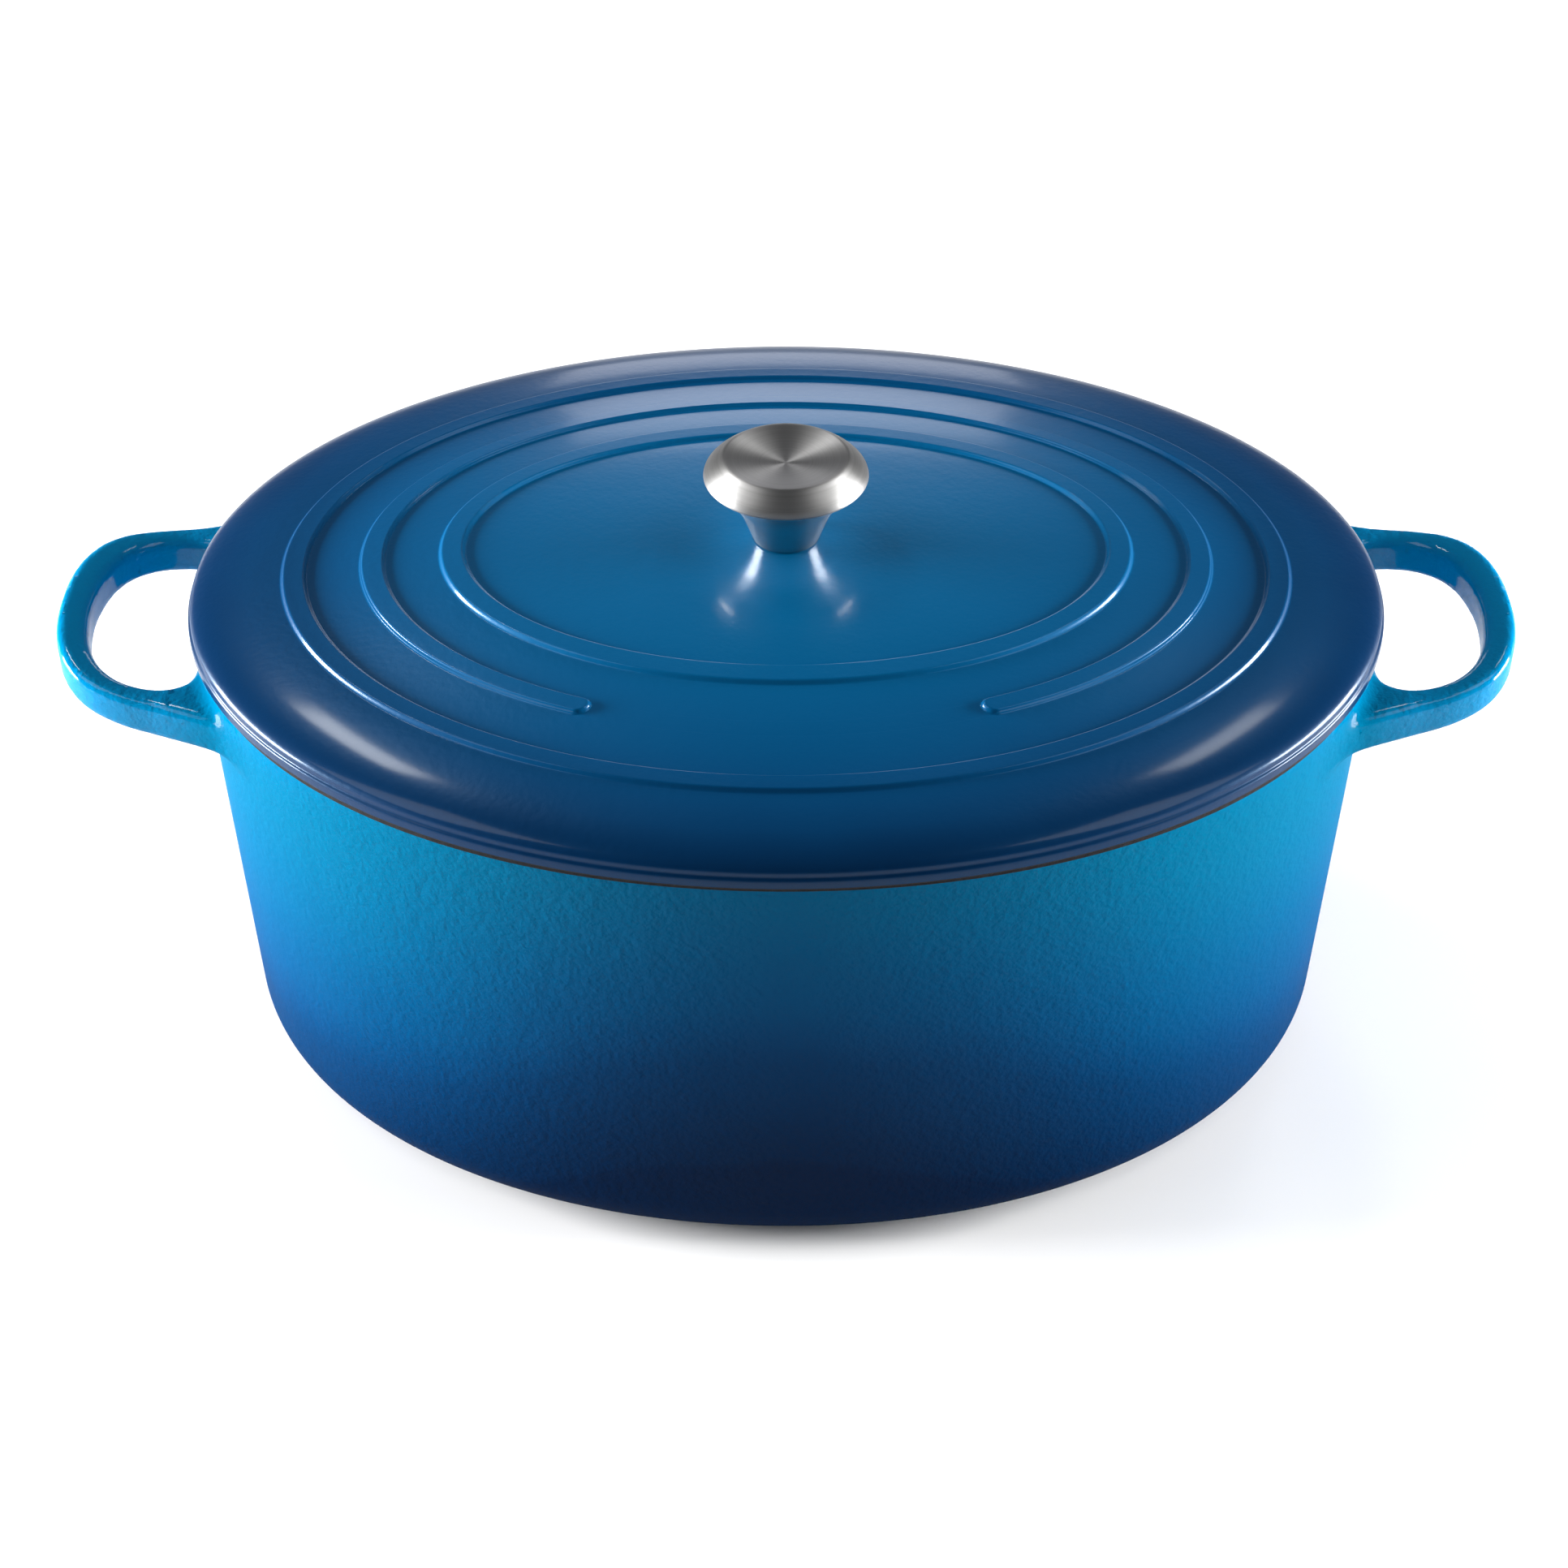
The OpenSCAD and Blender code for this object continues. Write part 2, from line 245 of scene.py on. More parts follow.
def smooth_loop(half, per_span=8):
    """Half an outline and its mirror image as one smooth curve, Catmull-Rom, in metres."""
    mirrored = [(x, -y) for x, y in reversed(half) if y > 0]
    p = np.array(mirrored + half) * MM
    # An outline that ends on the middle line closes there, and the other stays open in the wall
    if half[-1][1] == 0:
        p = np.concatenate([p[-1:], p, p[:1]])
    n = len(p)
    out = []
    for i in range(n - 1):
        p0, p1, p2, p3 = p[max(i - 1, 0)], p[i], p[i + 1], p[min(i + 2, n - 1)]
        for t in np.arange(per_span) / per_span:
            out.append(0.5 * (2 * p1 + (p2 - p0) * t + (2 * p0 - 5 * p1 + 4 * p2 - p3) * t * t
                              + (3 * p1 - p0 - 3 * p2 + p3) * t ** 3))
    out.append(p[-1])
    return np.array(out)


def polygon_distance(loop, x, y):
    """Signed distance of points to a closed polygon, negative inside."""
    best = np.full(x.shape, 1e9)
    inside = np.zeros(x.shape, bool)
    for start, end in zip(loop, np.roll(loop, -1, axis=0)):
        side = end - start
        from_x, from_y = x - start[0], y - start[1]
        t = np.clip((from_x * side[0] + from_y * side[1]) / (side @ side), 0, 1)
        best = np.minimum(best, (from_x - side[0] * t) ** 2 + (from_y - side[1] * t) ** 2)
        crosses = (start[1] <= y) != (end[1] <= y)
        slope = side[0] / side[1] if side[1] else 0.0
        inside ^= crosses & (x < start[0] + from_y * slope)
    return np.where(inside, -1, 1) * np.sqrt(best)


class PlanGrid:
    """The loop's distance seen from above, held on a grid and read between its points."""

    def __init__(self, low, high, step):
        self.low = np.array(low)
        self.step = step
        xs = np.arange(low[0], high[0] + step, step)
        ys = np.arange(low[1], high[1] + step, step)
        gx, gy = np.meshgrid(xs, ys, indexing="ij")
        outside = polygon_distance(smooth_loop(LOOP_OUTSIDE), gx, gy)
        gap = polygon_distance(smooth_loop(LOOP_GAP), gx, gy)
        self.values = np.maximum(outside, -gap)

    def read(self, x, y):
        """The distance at any place, worked out from the four grid points round it."""
        grid = self.values
        column = np.clip((x - self.low[0]) / self.step, 0, grid.shape[0] - 1.001)
        row = np.clip((y - self.low[1]) / self.step, 0, grid.shape[1] - 1.001)
        i, j = column.astype(int), row.astype(int)
        u, v = column - i, row - j
        return (grid[i, j] * (1 - u) * (1 - v) + grid[i + 1, j] * u * (1 - v)
                + grid[i, j + 1] * (1 - u) * v + grid[i + 1, j + 1] * u * v)


def body_distance(x, y, z):
    """Near the wall, the signed distance to the pot's outside."""
    a, b, p = POT_A - wall_in(z), POT_B - wall_in(z), POT_POWER
    f = ((np.abs(x) / a) ** p + (np.abs(y) / b) ** p) ** (1 / p)
    gx = np.abs(x) ** (p - 1) / a ** p
    gy = np.abs(y) ** (p - 1) / b ** p
    return (f - 1) / (f ** (1 - p) * np.sqrt(gx ** 2 + gy ** 2)) * cos(DRAFT)


def loop_distance(plan, x, y, z):
    """Signed distance to the handle's rounded bar."""
    rise = LOOP_LIFT * np.clip((x - LOOP_ROOT[0]) / (HANDLE_X - LOOP_ROOT[0]), 0, 1.2) ** 2
    across = plan.read(x, y) + LOOP_EDGE
    up = np.abs(z - LOOP_ROOT[1] - rise) - LOOP_THICK / 2 + LOOP_EDGE
    outer = np.sqrt(np.maximum(across, 0) ** 2 + np.maximum(up, 0) ** 2)
    return outer + np.minimum(np.maximum(across, up), 0) - LOOP_EDGE


def casting_distance(plan, x, y, z):
    """The wall and the loop, blended by a fillet."""
    wall = body_distance(x, y, z) + SINK
    loop = loop_distance(plan, x, y, z)
    near = np.maximum(BLEND - np.abs(wall - loop), 0) / BLEND
    return np.minimum(wall, loop) - near * near * BLEND / 4


def crossed_cells(inside):
    """The grid's cells that have corners on both sides of the surface."""
    nx, ny, nz = (n - 1 for n in inside.shape)
    corner_sum = sum(inside[i:nx + i, j:ny + j, k:nz + k].astype(int)
                     for i in (0, 1) for j in (0, 1) for k in (0, 1))
    return (corner_sum > 0) & (corner_sum < 8)


def settle(points, field, step, rounds=6):
    """Moves points along the field's slope until they lie on its zero surface."""
    tiny = step * 0.02
    flattest = 0.05
    longest = step * 0.6
    for _ in range(rounds):
        here = field(*points.T)
        slope = np.stack([(field(*(points + tiny * np.eye(3)[d]).T) - here) / tiny
                          for d in range(3)], axis=1)
        move = here[:, None] * slope / np.maximum((slope ** 2).sum(1), flattest)[:, None]
        length = np.linalg.norm(move, axis=1, keepdims=True)
        points = points - move * np.minimum(1, longest / np.maximum(length, 1e-12))
    return points


def net_faces(inside, index, d):
    """A face across every grid line along axis d that passes through the surface."""
    u, v = (d + 1) % 3, (d + 2) % 3
    first = [slice(None)] * 3
    second = [slice(None)] * 3
    first[d] = slice(0, -1)
    second[d] = slice(1, None)
    lines = np.argwhere(inside[tuple(first)] != inside[tuple(second)])
    within = (lines[:, u] > 0) & (lines[:, v] > 0)
    within &= (lines[:, u] < index.shape[u]) & (lines[:, v] < index.shape[v])
    lines = lines[within]
    outward = inside[tuple(first)][tuple(lines.T)]
    quad = []
    for du, dv in ((1, 1), (0, 1), (0, 0), (1, 0)):
        cell = lines.copy()
        cell[:, u] -= du
        cell[:, v] -= dv
        quad.append(index[tuple(cell.T)])
    quad = np.stack(quad, axis=1)
    return np.where(outward[:, None], quad, quad[:, ::-1])


def surface_net(field, low, high, step):
    """The surface where field is zero, as one vertex in each crossed cell, set on the surface."""
    axes = [np.arange(lo, hi + step, step) for lo, hi in zip(low, high)]
    inside = field(*np.meshgrid(*axes, indexing="ij")) < 0
    crossed = crossed_cells(inside)
    index = np.full(crossed.shape, -1)
    index[crossed] = np.arange(crossed.sum())
    cells = np.argwhere(crossed)
    middles = np.stack([axes[d][cells[:, d]] + step / 2 for d in range(3)], axis=1)
    faces = np.concatenate([net_faces(inside, index, d) for d in range(3)])
    return settle(middles, field, step), faces


def handle_skin():
    """Vertices and faces of the +X handle with its blend into the wall."""
    plan = PlanGrid(PLAN_LOW, PLAN_HIGH, PLAN_STEP)
    points, faces = surface_net(lambda x, y, z: casting_distance(plan, x, y, z),
                                NET_LOW, NET_HIGH, NET_STEP)
    # Only the handle and its fillet are kept, and nothing that would cover the black rim
    near = loop_distance(plan, *points.T) < BLEND
    clear = (points[:, 2] < BAND_Z) | (body_distance(*points.T) > 1 * MM)
    kept = (near & clear)[faces].all(axis=1) & (faces >= 0).all(axis=1)
    faces = faces[kept]
    used = np.unique(faces)
    renumber = np.full(len(points), -1)
    renumber[used] = np.arange(len(used))
    return points[used], renumber[faces]


# ---------------------------------------------------------------------------------------------
# Lid: rings of stations, each as (half length, half width, height over the lid's lower edge)
# ---------------------------------------------------------------------------------------------
# Outside and inside lines of the three raised rings, (half length, half width) in millimetres
BEADS = [((175.5, 131.3), (167.5, 124.1)), ((148.1, 105.5), (140.1, 98.9)),
         ((120.3, 81.3), (112.1, 72.7))]
BEAD_H = 1.4 * MM
BEAD_EDGE = 1.5 * MM
# Half of the plain gap in the middle ring, to the middle of a tip's round end
GAP_HALF = 67.5 * MM
# The rings are about this many times as wide at the lid's ends as at its front, by the tips
TIP_STRETCH = 1.2
# The flat pad under the knob, in the middle of the lid, and the screw's hole
PAD_R = 13 * MM
HOLE_R = 3.6 * MM
# Knots that carry the half length over to the half width, from the hole to the edge
LINES = [line for pair in BEADS[::-1] for line in pair[::-1]]
A_KNOTS = [HOLE_R / MM, PAD_R / MM] + [line[0] for line in LINES] + [LID_A / MM]
B_KNOTS = [HOLE_R / MM, PAD_R / MM] + [line[1] for line in LINES] + [LID_B / MM]
DOME_TOP = LID_TOP - LID_Z
LID_THICK = 4.4 * MM
# Inside the lid, a round pad thickens the middle under the washers
INNER_PAD_H = 1.2 * MM
INNER_PAD_R = 10.2 * MM
# The flange that finds the pot's mouth: its place from the lid's edge, its width and depth
FLANGE_OUT = LID_OVER + WALL + 1.2 * MM
FLANGE_IN = FLANGE_OUT + 4 * MM
FLANGE_LOW = -7 * MM
FLANGE_EDGE = 1 * MM
SEAT_CORNER = 0.6 * MM
# The shoulder is part of an ellipse, from the outer ring down to the upright edge. It starts at
# SHOULDER_A and SHOULDER_TOP, and the ellipse's middle is at SHOULDER_MID and SHOULDER_LOW
SHOULDER_A = 171 * MM
SHOULDER_TOP = 13.9 * MM
SHOULDER_MID = 162 * MM
SHOULDER_LOW = 5.4 * MM
EDGE_IN = 0.9 * MM
EDGE_A = LID_A - EDGE_IN
SHOULDER_START = asin((SHOULDER_A - SHOULDER_MID) / (EDGE_A - SHOULDER_MID))
SHOULDER_RISE = (SHOULDER_TOP - SHOULDER_LOW) / cos(SHOULDER_START)
SHOULDER_SLOPE = -SHOULDER_RISE * tan(SHOULDER_START) / (EDGE_A - SHOULDER_MID)
# The dome inside the shoulder: half lengths and heights in millimetres, and slopes
DOME_KNOTS = [PAD_R / MM, 60, 116, 144, SHOULDER_A / MM]
DOME_HEIGHTS = [24.1, 23.0, 19.9, 17.0, SHOULDER_TOP / MM]
DOME_SLOPES = [-0.010, -0.038, -0.085, -0.112, SHOULDER_SLOPE]


def half_width(a):
    """The half width that goes with half length a."""
    return np.interp(a / MM, A_KNOTS, B_KNOTS) * MM


def hermite(x, knots, values, slopes):
    """A smooth curve through knots with given slopes."""
    i = int(np.clip(np.searchsorted(knots, x) - 1, 0, len(knots) - 2))
    h = knots[i + 1] - knots[i]
    t = (x - knots[i]) / h
    return (values[i] * (1 + 2 * t) * (1 - t) ** 2 + values[i + 1] * t * t * (3 - 2 * t)
            + slopes[i] * h * t * (1 - t) ** 2 - slopes[i + 1] * h * t * t * (1 - t))


def dome_z(a):
    """Height of the dome's outside over the lid's lower edge, at half length a."""
    if a > SHOULDER_A:
        across = (a - SHOULDER_MID) / (EDGE_A - SHOULDER_MID)
        return SHOULDER_LOW + SHOULDER_RISE * sqrt(max(1 - across ** 2, 0))
    return hermite(max(a, PAD_R) / MM, DOME_KNOTS, DOME_HEIGHTS, DOME_SLOPES) * MM


def smooth_step(t):
    """From 0 to 1 as t goes from 0 to 1, level at both ends."""
    t = np.clip(t, 0, 1)
    return t * t * (3 - 2 * t)


# The middle ring's middle line, the angle of its tips, and how far an angle there reaches
RING_A = (BEADS[1][0][0] + BEADS[1][1][0]) / 2 * MM
RING_B = (BEADS[1][0][1] + BEADS[1][1][1]) / 2 * MM
TIP_ANGLE = asin(GAP_HALF / RING_A)
TIP_PACE = sqrt((RING_A * cos(TIP_ANGLE)) ** 2 + (RING_B * sin(TIP_ANGLE)) ** 2)


def bead_height(a):
    """Height of the raised rings all round a station of half length a."""
    total = np.zeros_like(TURNS)
    for bead in BEADS:
        outer_a, inner_a = bead[0][0] * MM, bead[1][0] * MM
        half = (outer_a - inner_a) / 2
        away = np.full_like(TURNS, abs(a - (outer_a + inner_a) / 2))
        if bead is BEADS[1]:
            past = np.maximum(TIP_ANGLE - np.abs(TURNS), 0) * TIP_PACE
            away = np.sqrt(away ** 2 + (past * TIP_STRETCH) ** 2)
        total += BEAD_H * smooth_step((half + BEAD_EDGE / 2 - away) / BEAD_EDGE)
    return total


def lid_angles():
    """Angles round the lid, from the front, close together at the middle ring's tips."""
    reach = 0.045
    spare = 0.002
    even = list(np.linspace(-pi, pi, 720, endpoint=False))
    tip = TIP_ANGLE + np.linspace(-reach, reach, 41)
    away = [t for t in even if abs(abs(t) - TIP_ANGLE) > reach + spare]
    return np.array(sorted(away + list(tip) + list(-tip)))


TURNS = lid_angles()


def lid_ring(a, b, z, beads=False):
    """A ring of the lid at height z over its lower edge, with the raised rings if wanted."""
    height = np.full_like(TURNS, LID_Z + z)
    if beads:
        height = height + bead_height(a)
    return np.stack([a * np.sin(TURNS), -b * np.cos(TURNS), height], axis=1)


def lid_top_stations():
    """Half lengths from the hole out to the shoulder, close together at the beads' edges."""
    soft = 0.6 * MM
    clear = 2.2 * MM
    stations = list(np.linspace(HOLE_R, PAD_R - soft, 4)) + [PAD_R, PAD_R + soft]
    edges = sorted(v[0] * MM for pair in BEADS for v in pair)
    fine = np.linspace(-1, 1, 11) * BEAD_EDGE
    for edge in edges:
        stations += list(edge + fine)
    middle_bead = np.linspace(BEADS[1][1][0], BEADS[1][0][0], 22) * MM
    stations += list(middle_bead)
    coarse = np.arange(16, 176, 4.0) * MM
    stations += [c for c in coarse if min(abs(c - edge) for edge in edges) > clear
                 and not middle_bead[0] < c < middle_bead[-1]]
    low = (max(stations) + 1 * MM - SHOULDER_MID) / (EDGE_A - SHOULDER_MID)
    turns = np.linspace(asin(low), pi / 2, 34)
    stations += list(SHOULDER_MID + (EDGE_A - SHOULDER_MID) * np.sin(turns))
    return sorted(stations)


def lid_outside():
    """Rings over the lid's top, from the hole out to the foot of the shoulder."""
    return [lid_ring(a, half_width(a), dome_z(a), beads=True) for a in lid_top_stations()]


def inset_rings(section):
    """A ring round the lid for every (inset from its edge, height) of a section."""
    return [lid_ring(LID_A - d, LID_B - d, z) for d, z in section]


def lid_edge_section():
    """The upright edge under the shoulder and its lip."""
    return [(EDGE_IN, 4.6 * MM), (0.85 * MM, 4.2 * MM), (0.6 * MM, 3.9 * MM),
            (0.25 * MM, 3.7 * MM), (0.05 * MM, 3.3 * MM), (0.0, 2.7 * MM), (0.0, 1.6 * MM),
            (0.0, SEAT_CORNER)]


def lid_under_section():
    """The lid's rim: round its lower corner, across the seat and down and up the flange."""
    soft = FLANGE_EDGE
    low = FLANGE_LOW + soft
    bevel = 0.3 * MM
    under = [(SEAT_CORNER - SEAT_CORNER * cos(radians(t)),
              SEAT_CORNER - SEAT_CORNER * sin(radians(t))) for t in ROUND]
    under += [(FLANGE_OUT - soft, 0.0), (FLANGE_OUT - bevel, -bevel), (FLANGE_OUT, -soft),
              (FLANGE_OUT, low)]
    under += [(FLANGE_OUT + soft - soft * cos(radians(t)), low - soft * sin(radians(t)))
              for t in ROUND]
    under += [(FLANGE_IN - soft + soft * cos(radians(t)), low - soft * sin(radians(t)))
              for t in (90, 67, 45, 22, 0)]
    return under + [(FLANGE_IN, 0.0)]


def lid_inner_rings():
    """The hollow under the dome, from the flange in to the screw's hole."""
    rings = inset_rings([(FLANGE_IN, 0.0), (FLANGE_IN, 2.5 * MM),
                         (FLANGE_IN + 0.8 * MM, 4.3 * MM), (FLANGE_IN + 2.4 * MM, 5.7 * MM)])
    start = LID_A - FLANGE_IN - 5 * MM
    for a in np.linspace(start, 12.5 * MM, 40):
        rings.append(lid_ring(a, half_width(a), dome_z(a) - LID_THICK))
    pad_z = DOME_TOP - LID_THICK - INNER_PAD_H
    middle = [(INNER_PAD_R + 1.0 * MM, dome_z(0) - LID_THICK - 0.3 * MM),
              (INNER_PAD_R + 0.4 * MM, pad_z + 0.1 * MM), (INNER_PAD_R, pad_z),
              (HOLE_R + 0.2 * MM, pad_z), (HOLE_R, pad_z + 0.2 * MM),
              (HOLE_R, dome_z(0) - 0.2 * MM)]
    return rings + [lid_ring(r, r, z) for r, z in middle]


# ---------------------------------------------------------------------------------------------
# Knob: turned profiles as (radius, height), in metres
# ---------------------------------------------------------------------------------------------
# The cap's dish, the bevel round it and the sharp edge under that, and the stem's foot
CAP_R = CAP_HIGH[0]
DISH_R = 21.6 * MM
DISH_DEEP = 2.4 * MM
BEVEL_R = 25.9 * MM
BEVEL_DROP = 3.1 * MM
CAP_EDGE_DROP = 7.5 * MM
STEM_FOOT_R = 11.7 * MM


def turned(profile, count=160):
    """A ring round the axis for every point of a profile."""
    t = np.linspace(0, 2 * pi, count, endpoint=False)
    return [np.stack([r * np.cos(t), r * np.sin(t), np.full_like(t, z)], axis=1)
            for r, z in profile]


def rounded(points, radii, steps=6):
    """A polyline with its inner corners rounded to the given radii."""
    out = [points[0]]
    for i in range(1, len(points) - 1):
        before, corner, after = (np.array(points[j]) for j in (i - 1, i, i + 1))
        back, on = before - corner, after - corner
        back_length, on_length = np.linalg.norm(back), np.linalg.norm(on)
        reach = min(radii[i - 1], back_length * 0.48, on_length * 0.48)
        start = corner + back / back_length * reach
        end = corner + on / on_length * reach
        for t in np.linspace(0, 1, steps + 1):
            out.append(tuple((1 - t) ** 2 * start + 2 * t * (1 - t) * corner + t * t * end))
    return out + [points[-1]]


def cap_profile():
    """The knob's cap, from the middle of the dish over the bevel and round under the edge."""
    low, top = CAP_LOW[2], CAP_HIGH[2]
    edge_z = top - CAP_EDGE_DROP
    dish = [(DISH_R * k, top - DISH_DEEP * (1 - k ** 2) ** 1.2 - 0.25 * MM * (1 - k))
            for k in np.linspace(0.0, 0.92, 22)]
    corners = [dish[-1], (DISH_R, top), (BEVEL_R, top - BEVEL_DROP),
               (CAP_R - 0.5 * MM, edge_z + 1.9 * MM), (CAP_R, edge_z),
               (CAP_R - 0.8 * MM, edge_z - 0.9 * MM), (CAP_R - 3 * MM, low + 0.1 * MM),
               (CAP_R - 5 * MM, low + 0.2 * MM)]
    radii = [2.0 * MM, 3.0 * MM, 1.6 * MM, 0.8 * MM, 0.7 * MM, 0.4 * MM]
    return dish[:-1] + rounded(corners, radii)


def stem_profile():
    """The stem's outside, from its foot on the lid up into the cap."""
    low, high = STEM_LOW[2], STEM_HIGH[2]
    corners = [(4 * MM, low), (STEM_FOOT_R - 0.5 * MM, low), (STEM_FOOT_R, low + 0.5 * MM),
               (STEM_FOOT_R + 0.2 * MM, low + 1.4 * MM), (13.7 * MM, low + 6.2 * MM),
               (15.9 * MM, low + 12 * MM), (20.4 * MM, low + 18 * MM),
               (25.6 * MM, low + 22.6 * MM), (26.4 * MM, high - 1.2 * MM)]
    return rounded(corners, [0.3 * MM, 0.4 * MM, 0.8 * MM, 3 * MM, 3 * MM, 3 * MM, 1 * MM])


# ---------------------------------------------------------------------------------------------
# Materials
# ---------------------------------------------------------------------------------------------
# Along the fade: 0 is FADE_LOW under the foot, as a part of the pot's height, and 1 is FADE_SPAN up
FADE_LOW = 0.15
FADE_SPAN = 1.30
# Colours up the fade, from near black at the foot to bright blue at the rim; the last stop is
# reached only on the handles, as painted light
BODY_FADE_AND_PAINTED_LIGHT = [(0.035, (0.0, 0.008, 0.034)), (0.25, (0.0, 0.026, 0.088)),
             (0.36, (0.0, 0.044, 0.130)), (0.55, (0.0, 0.074, 0.172)),
             (0.76, (0.0, 0.108, 0.200)), (0.86, (0.0, 0.105, 0.210)), (1.0, (0.0, 0.200, 0.430))]
# How much lower the fade sits in the middle of a long side, as painted shade, and how much higher
# on the handles, as painted light
MIDDLE_PAINTED_SHADE = 0.37
HANDLE_PAINTED_LIGHT = 0.16
# The clear gloss over the body, and how much it grows towards the handles
BODY_COAT = 0.07
HANDLE_GLOSS = 2.0
# Along the lid's fade, 0 is the middle and 1 is the edge
LID_FADE = [(0.0, (0.0, 0.086, 0.205)), (0.40, (0.0, 0.090, 0.220)), (0.70, (0.0, 0.062, 0.170)),
            (0.90, (0.0, 0.028, 0.092)), (1.0, (0.0, 0.012, 0.046))]
NAVY = (0.0, 0.02, 0.06, 1)
# Orange peel on a cast skin: noise scales and heights of the slow waves and the fine dimples
WAVE_SCALE = 120.0
WAVE_HEIGHT = 0.0009
DIMPLE_SCALE = 420.0
DIMPLE_HEIGHT = 0.00042


class Nodes:
    """A short way to wire a node material."""

    def __init__(self, name):
        self.material = bpy.data.materials.new(name)
        self.material.use_nodes = True
        self.tree = self.material.node_tree
        self.shader = self.tree.nodes["Principled BSDF"]

    def add(self, kind, settings=None, **inputs):
        """A node with its inputs fed, by name with _ for a space, or by number as i0, i1."""
        node = self.tree.nodes.new(kind)
        for key, value in (settings or {}).items():
            setattr(node, key, value)
        for key, value in inputs.items():
            numbered = key[0] == "i" and key[1:].isdigit()
            socket = int(key[1:]) if numbered else key.replace("_", " ")
            self.feed(node.inputs[socket], value)
        return node

    def feed(self, socket, value):
        """Links a socket to another one, or sets it to a plain value."""
        if isinstance(value, bpy.types.NodeSocket):
            self.tree.links.new(value, socket)
        else:
            socket.default_value = value

    def math(self, operation, a, b=0.0):
        return self.add("ShaderNodeMath", {"operation": operation}, i0=a, i1=b).outputs[0]

    def ramp(self, factor, stops, easing="LINEAR"):
        """A colour from a list of (place, colour) stops."""
        node = self.add("ShaderNodeValToRGB", None, Fac=factor)
        ramp = node.color_ramp
        while len(ramp.elements) < len(stops):
            ramp.elements.new(0.5)
        for element, (place, colour) in zip(ramp.elements, stops):
            element.position = place
            element.color = (*colour, 1)
        ramp.interpolation = easing
        return node.outputs["Color"]

    def mix(self, factor, a, b):
        """Colour a at factor 0 and colour b at factor 1."""
        node = self.add("ShaderNodeMix", {"data_type": "RGBA"})
        self.feed(node.inputs[0], factor)
        self.feed(node.inputs[6], a)
        self.feed(node.inputs[7], b)
        return node.outputs[2]

    def noise(self, where, scale, detail=3.0, rough=0.55):
        node = self.add("ShaderNodeTexNoise", None, Vector=where, Scale=scale, Detail=detail,
                        Roughness=rough)
        return node.outputs["Fac"]

    def bump(self, height, distance, strength=1.0, normal=None):
        node = self.add("ShaderNodeBump", None, Height=height, Distance=distance,
                        Strength=strength)
        if normal is not None:
            self.feed(node.inputs["Normal"], normal)
        return node.outputs["Normal"]

    def finish(self, **inputs):
        """The material, with the shader's own inputs fed."""
        for key, value in inputs.items():
            self.feed(self.shader.inputs[key.replace("_", " ")], value)
        return self.material


def object_place(n):
    """Object coordinates, in metres."""
    return n.add("ShaderNodeTexCoord").outputs["Object"]


def split_place(n, where):
    """The X, Y and Z of a place."""
    return n.add("ShaderNodeSeparateXYZ", None, Vector=where).outputs


def cast_bump(n, where, strength):
    """Orange peel over a cast skin: fine dimples on a slow wave."""
    wave = n.bump(n.noise(where, WAVE_SCALE, 2.0, 0.5), WAVE_HEIGHT, strength * 0.5)
    return n.bump(n.noise(where, DIMPLE_SCALE, 2.0, 0.5), DIMPLE_HEIGHT, strength, wave)


def body_enamel():
    """Gloss enamel, bright blue at the rim and near black low down in the middle of a long side,
    where painted shade darkens the middle of each long side; the handles are brighter with painted
    light.
    """
    n = Nodes("enamel_body")
    where = object_place(n)
    x, _, z = split_place(n, where)
    drift = n.math("SUBTRACT", n.noise(where, 14.0, 2.0), 0.5)
    height = n.math("ADD", n.math("DIVIDE", z, RIM_Z), n.math("MULTIPLY", drift, 0.10))
    smooth = {"interpolation_type": "SMOOTHSTEP"}
    out = n.math("ABSOLUTE", x)
    # Painted shade mask: 1 in the middle of each long side and 0 at its ends, where the side lamps
    # don't reach
    middle = n.add("ShaderNodeMapRange", smooth, Value=out, From_Min=POT_A,
                   From_Max=0.0).outputs[0]
    # Painted light mask: grows towards the handles and lifts their colour above the wall's; the
    # same mask also raises the gloss there
    handle = n.add("ShaderNodeMapRange", smooth, Value=out, From_Min=POT_A - 14 * MM,
                   From_Max=POT_A + 10 * MM, To_Max=HANDLE_PAINTED_LIGHT).outputs[0]
    # Painted shade: the middle of each long side is pulled down the fade, darker
    height = n.math("SUBTRACT", height, n.math("MULTIPLY", middle, MIDDLE_PAINTED_SHADE))
    # Painted light: the handles are lifted up the fade, brighter
    height = n.math("ADD", n.math("ADD", height, handle), FADE_LOW)
    fade = n.ramp(n.math("DIVIDE", height, FADE_SPAN), BODY_FADE_AND_PAINTED_LIGHT, "B_SPLINE")
    speck = n.noise(where, 900.0, 2.0)
    colour = n.mix(n.math("MULTIPLY", speck, 0.10), fade, NAVY)
    gloss = n.math("ADD", n.math("MULTIPLY", handle, HANDLE_GLOSS), BODY_COAT)
    return n.finish(Base_Color=colour, Roughness=0.34, Normal=cast_bump(n, where, 0.9),
                    Coat_Weight=gloss, Coat_Roughness=0.07, Specular_IOR_Level=0.0)


